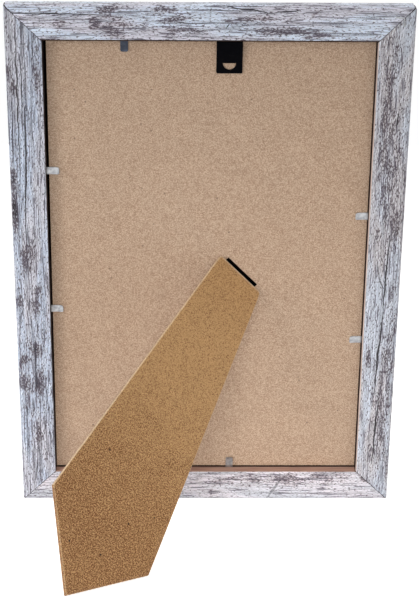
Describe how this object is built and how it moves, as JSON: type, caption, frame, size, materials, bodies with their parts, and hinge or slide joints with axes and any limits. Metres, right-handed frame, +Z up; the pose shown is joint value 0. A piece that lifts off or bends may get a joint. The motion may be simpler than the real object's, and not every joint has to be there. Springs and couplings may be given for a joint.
{
  "type": "picture frame",
  "caption": "Free-standing picture frame of mitred rails with glass, fibreboard back, bendable steel points, a wall hanger and a plug-in easel leg, leaning back as it stands on a table.",
  "frame": {"origin": "middle of the bounding box's footprint, on the table that the frame stands on", "axes": "+Z up, +Y out of the frame's back towards the leg's foot, +X to the right as seen from the front and to the left as seen from behind"},
  "size_m": [0.248, 0.2252, 0.333],
  "materials": {
    "rail_finish": "pale, worn paint over brown grain, matt",
    "panel_board": "smooth-faced fibreboard, matt",
    "leg_board": "flecked brown fibreboard, satin",
    "clear_glass": "clear float glass",
    "plain_paper": "plain uncoated sheet",
    "black_steel": "black lacquer, semi-gloss",
    "bright_steel": "plain spring steel, dull"
  },
  "bodies": {
    "frame": {"rail_top": "rail_finish", "rail_bottom": "rail_finish", "rail_left": "rail_finish", "rail_right": "rail_finish", "corner_nail_bottom_right_outer": "bright_steel", "corner_nail_bottom_right_inner": "bright_steel", "corner_nail_top_right_outer": "bright_steel", "corner_nail_top_right_inner": "bright_steel", "corner_nail_top_left_outer": "bright_steel", "corner_nail_top_left_inner": "bright_steel", "corner_nail_bottom_left_outer": "bright_steel", "corner_nail_bottom_left_inner": "bright_steel", "glass_pane": "clear_glass", "picture_sheet": "plain_paper", "back_panel": "panel_board", "hanger_plate": "black_steel", "tab_root_bottom": "bright_steel", "tab_root_right_1": "bright_steel", "tab_root_right_2": "bright_steel", "tab_root_top": "bright_steel", "tab_root_left_1": "bright_steel", "tab_root_left_2": "bright_steel"},
    "leg": {"easel_leg": "leg_board", "leg_blade": "black_steel"},
    "tab_bottom": {"tab_tongue_bottom": "bright_steel"},
    "tab_right_1": {"tab_tongue_right_1": "bright_steel"},
    "tab_right_2": {"tab_tongue_right_2": "bright_steel"},
    "tab_top": {"tab_tongue_top": "bright_steel"},
    "tab_left_1": {"tab_tongue_left_1": "bright_steel"},
    "tab_left_2": {"tab_tongue_left_2": "bright_steel"}
  },
  "joints": [
    {"name": "leg_pull", "type": "slide", "parent": "frame", "child": "leg", "axis": [0.404, 0.6654, -0.6278], "range_m": [0, 0.025]},
    {"name": "tab_bend_bottom", "type": "hinge", "parent": "frame", "child": "tab_bottom", "pos_m": [-0.0159, -0.10294, 0.02314], "axis": [-1, 0, 0], "range_deg": [0, 80]},
    {"name": "tab_bend_right_1", "type": "hinge", "parent": "frame", "child": "tab_right_1", "pos_m": [-0.10075, -0.04591, 0.1997], "axis": [0, 0.3074, 0.9516], "range_deg": [0, 80]},
    {"name": "tab_bend_right_2", "type": "hinge", "parent": "frame", "child": "tab_right_2", "pos_m": [-0.10075, -0.07305, 0.11568], "axis": [0, 0.3074, 0.9516], "range_deg": [0, 80]},
    {"name": "tab_bend_top", "type": "hinge", "parent": "frame", "child": "tab_top", "pos_m": [0.052, -0.01027, 0.31004], "axis": [1, 0, 0], "range_deg": [0, 80]},
    {"name": "tab_bend_left_1", "type": "hinge", "parent": "frame", "child": "tab_left_1", "pos_m": [0.10075, -0.03653, 0.22873], "axis": [0, -0.3074, -0.9516], "range_deg": [0, 80]},
    {"name": "tab_bend_left_2", "type": "hinge", "parent": "frame", "child": "tab_left_2", "pos_m": [0.10075, -0.06616, 0.137], "axis": [0, -0.3074, -0.9516], "range_deg": [0, 80]}
  ]
}
